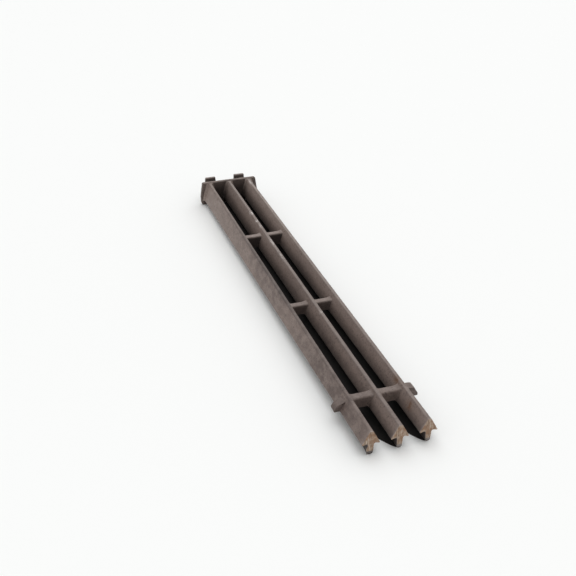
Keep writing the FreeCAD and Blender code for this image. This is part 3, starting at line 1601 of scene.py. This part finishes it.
@dataclass(frozen=True)
class Studio:
    """Seamless pale floor under broad, soft light from above and behind.

    Attributes:
        ambient: strength of the light from all round.
        shadow_sheet_edge: front edge of the painted shadow sheet behind one gap, as the distance
            from the bar on the left and from the bars' front ends.
    """

    floor: Paper = Paper("matt_paper", "#f7f8f7", 0.9)
    # Matt black sheet under the grate that stands in for the shadow in its gaps
    shadow_sheet: Paper = Paper("matt_black_painted_shadow", "#1e1b1a", 1.0)
    wall_colour: str = "#fbfcfb"
    floor_size: float = 9000.0
    shadow_sheet_height: float = 0.05
    ambient: float = 0.7
    key_strength: float = 1.25
    key_angle: float = 75.0
    key_from: tuple[float, float, float] = (0.35, 0.55, 1.0)
    shadow_sheet_edge: tuple[Point, ...] = (
        (2.3, 24.0),
        (10.0, 21.0),
        (14.5, 15.0),
        (18.0, 9.0),
        (21.0, 4.5),
        (23.3, 2.0),
        (25.4, 1.6),
    )

    def lay_floor(self) -> None:
        """Lays the floor."""
        deselect()
        bpy.ops.mesh.primitive_plane_add(size=self.floor_size * MM)
        floor = begin("floor")
        floor.data.materials.append(self.floor.build())

    def lay_shadow_sheet(self, profile: BarProfile) -> None:
        """Lays a matt black sheet under the grate, between its outer bars, as painted shadow in its
        gaps.

        Its front edge swings back behind each gap like a shadow, from the nose of the bar on the
        right.

        Args:
            profile: the bars' section, for where they lie.
        """
        edge = [(x, profile.front + back) for x, back in self.shadow_sheet_edge]
        points = [(profile.pitch, profile.rear), (-profile.pitch, profile.rear)]
        points += [(x - profile.pitch, y) for x, y in edge] + edge
        shadow_sheet = add_outline("painted_shadow_sheet", [(x, y, self.shadow_sheet_height) for x, y in points])
        shadow_sheet.data.materials.append(self.shadow_sheet.build())

    def light(self) -> None:
        """Hangs the soft room light and the softbox; the camera sees the room as a pale wall."""
        world = bpy.data.worlds.new("soft_room")
        bpy.context.scene.world = world
        world.use_nodes = True
        tree = world.node_tree
        tree.nodes.clear()
        seen = add_node(tree, "ShaderNodeLightPath").outputs["Is Camera Ray"]
        room, wall = (
            add_node(tree, "ShaderNodeBackground", {"Color": colour, "Strength": strength})
            for colour, strength in (
                ((1.0,) * 4, self.ambient),
                (linear(self.wall_colour), 1.0),
            )
        )
        inputs = {0: seen, 1: room.outputs["Background"], 2: wall.outputs["Background"]}
        mixed = add_node(tree, "ShaderNodeMixShader", inputs)
        add_node(tree, "ShaderNodeOutputWorld", {"Surface": mixed.outputs["Shader"]})
        sun = bpy.data.lights.new("overhead_softbox", "SUN")
        sun.energy = self.key_strength
        sun.angle = math.radians(self.key_angle)
        lamp = bpy.data.objects.new("overhead_softbox", sun)
        lamp.rotation_euler = Vector(self.key_from).to_track_quat("Z", "Y").to_euler()
        bpy.context.scene.collection.objects.link(lamp)
        bpy.context.scene.view_settings.view_transform = "Standard"


@dataclass(frozen=True)
class Viewpoint:
    """Camera in front of the bars' left ends, looking down along them. Angles are in degrees."""

    place: tuple[float, float, float] = (-263.57, -747.41, 460.44)
    heading: float = 19.185
    tilt: float = 29.98
    roll: float = 0.485
    lens: float = 53.98
    sensor_width: float = 36.0
    clip_start: float = 10.0

    def build(self) -> None:
        """Sets the camera up."""
        camera = bpy.data.cameras.new("camera")
        camera.lens = self.lens
        camera.sensor_width = self.sensor_width
        camera.clip_start = self.clip_start * MM
        stand = bpy.data.objects.new("camera", camera)
        turn = (
            Matrix.Rotation(-math.radians(self.heading), 4, "Z")
            @ Matrix.Rotation(math.radians(90.0 - self.tilt), 4, "X")
            @ Matrix.Rotation(math.radians(self.roll), 4, "Z")
        )
        stand.matrix_world = Matrix.Translation(Vector(self.place) * MM) @ turn
        bpy.context.scene.collection.objects.link(stand)
        bpy.context.scene.camera = stand


# ---------------------------------------------------------------- the grate


class Grate:
    """The whole casting: casts every member, dresses it and lets it stand for its solid."""

    slot = "iron"

    def __init__(self) -> None:
        """Reads the frame and makes the finishes."""
        self.profile = BarProfile.from_frame()
        self.skin = SandSkin()
        self.finishes = Finishes(CastIronSkin().build(), GroundIron().build())

    def cast(self, *members: Member) -> None:
        """Casts members that are alike: the first is modelled and the others are copies of it.

        Args:
            *members: the members; their solids differ in place only.
        """
        pieces = [members[0].model()]
        for member in members[1:]:
            way = member.box[0] - members[0].box[0]
            pieces.append(copy_of(pieces[0], member.name, way))
        for member, piece in zip(members, pieces):
            self.skin.press(piece)
            member.wear(piece)
            close_up(piece)
            member.dress(piece, self.finishes)
            piece.name = "cast_" + member.name
            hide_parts(member.name)
            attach(piece, "root")
            LOG.info("%s: %d faces", piece.name, len(piece.data.polygons))

    def bars(self) -> None:
        """Casts the three bars."""
        profile = self.profile
        left = Bar(
            "bar_left",
            profile,
            x=-profile.pitch,
            top_painted_shade_middle=0.4,
            stem_swell=1.4,
            open_side=Side.LEFT,
        )
        centre = Bar(
            "bar_centre",
            profile,
            nicks=(
                Spot(143.0, 3.4, 0.9),
                Spot(121.0, 2.2, 0.7),
                Spot(106.0, 3.0, 0.4),
                Spot(64.0, 9.0, 0.35),
                Spot(32.0, 12.0, 0.25),
                Spot(-88.0, 2.0, 0.5),
            ),
            polish=0.1,
            top_painted_shade=0.35,
        )
        right = Bar(
            "bar_right",
            profile,
            x=profile.pitch,
            nicks=(Spot(231.0, 6.0, 0.5), Spot(74.0, 2.0, 0.3)),
            rust=(Spot(-239.0, 4.243, 1.4, 0.55), Spot(-210.0, 6.364, 1.4, 0.95)),
            flash=(Spot(-196.0, 16.0, 0.5),),
            polish=0.08,
            top_painted_shade=0.25,
            rear_painted_light=0.9,
            open_side=Side.RIGHT,
        )
        self.cast(left, centre, right)

    def fittings(self) -> None:
        """Casts the ties, ears, end plate and hooks."""
        profile = self.profile
        for row in ("front", "middle", "rear"):
            self.cast(*(Tie(f"{row}_tie_{side.name.lower()}", profile) for side in Side))
        self.cast(
            Ear(
                "front_ear_left",
                profile,
                Side.LEFT,
                root_drop=3.9,
                shoulder_reach=10.4,
                shoulder_drop=6.9,
            )
        )
        self.cast(Ear("front_ear_right", profile))
        self.cast(EndPlate("rear_end_plate", profile))
        self.cast(*(Hook(f"rear_hook_{side.name.lower()}", profile) for side in Side))


def main() -> None:
    """Builds the grate, its floor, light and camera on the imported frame."""
    logging.basicConfig(level=logging.INFO, format="%(name)s: %(message)s")
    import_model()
    grate = Grate()
    grate.bars()
    grate.fittings()
    studio = Studio()
    studio.lay_floor()
    studio.lay_shadow_sheet(grate.profile)
    studio.light()
    Viewpoint().build()


if __name__ == "__main__":
    main()
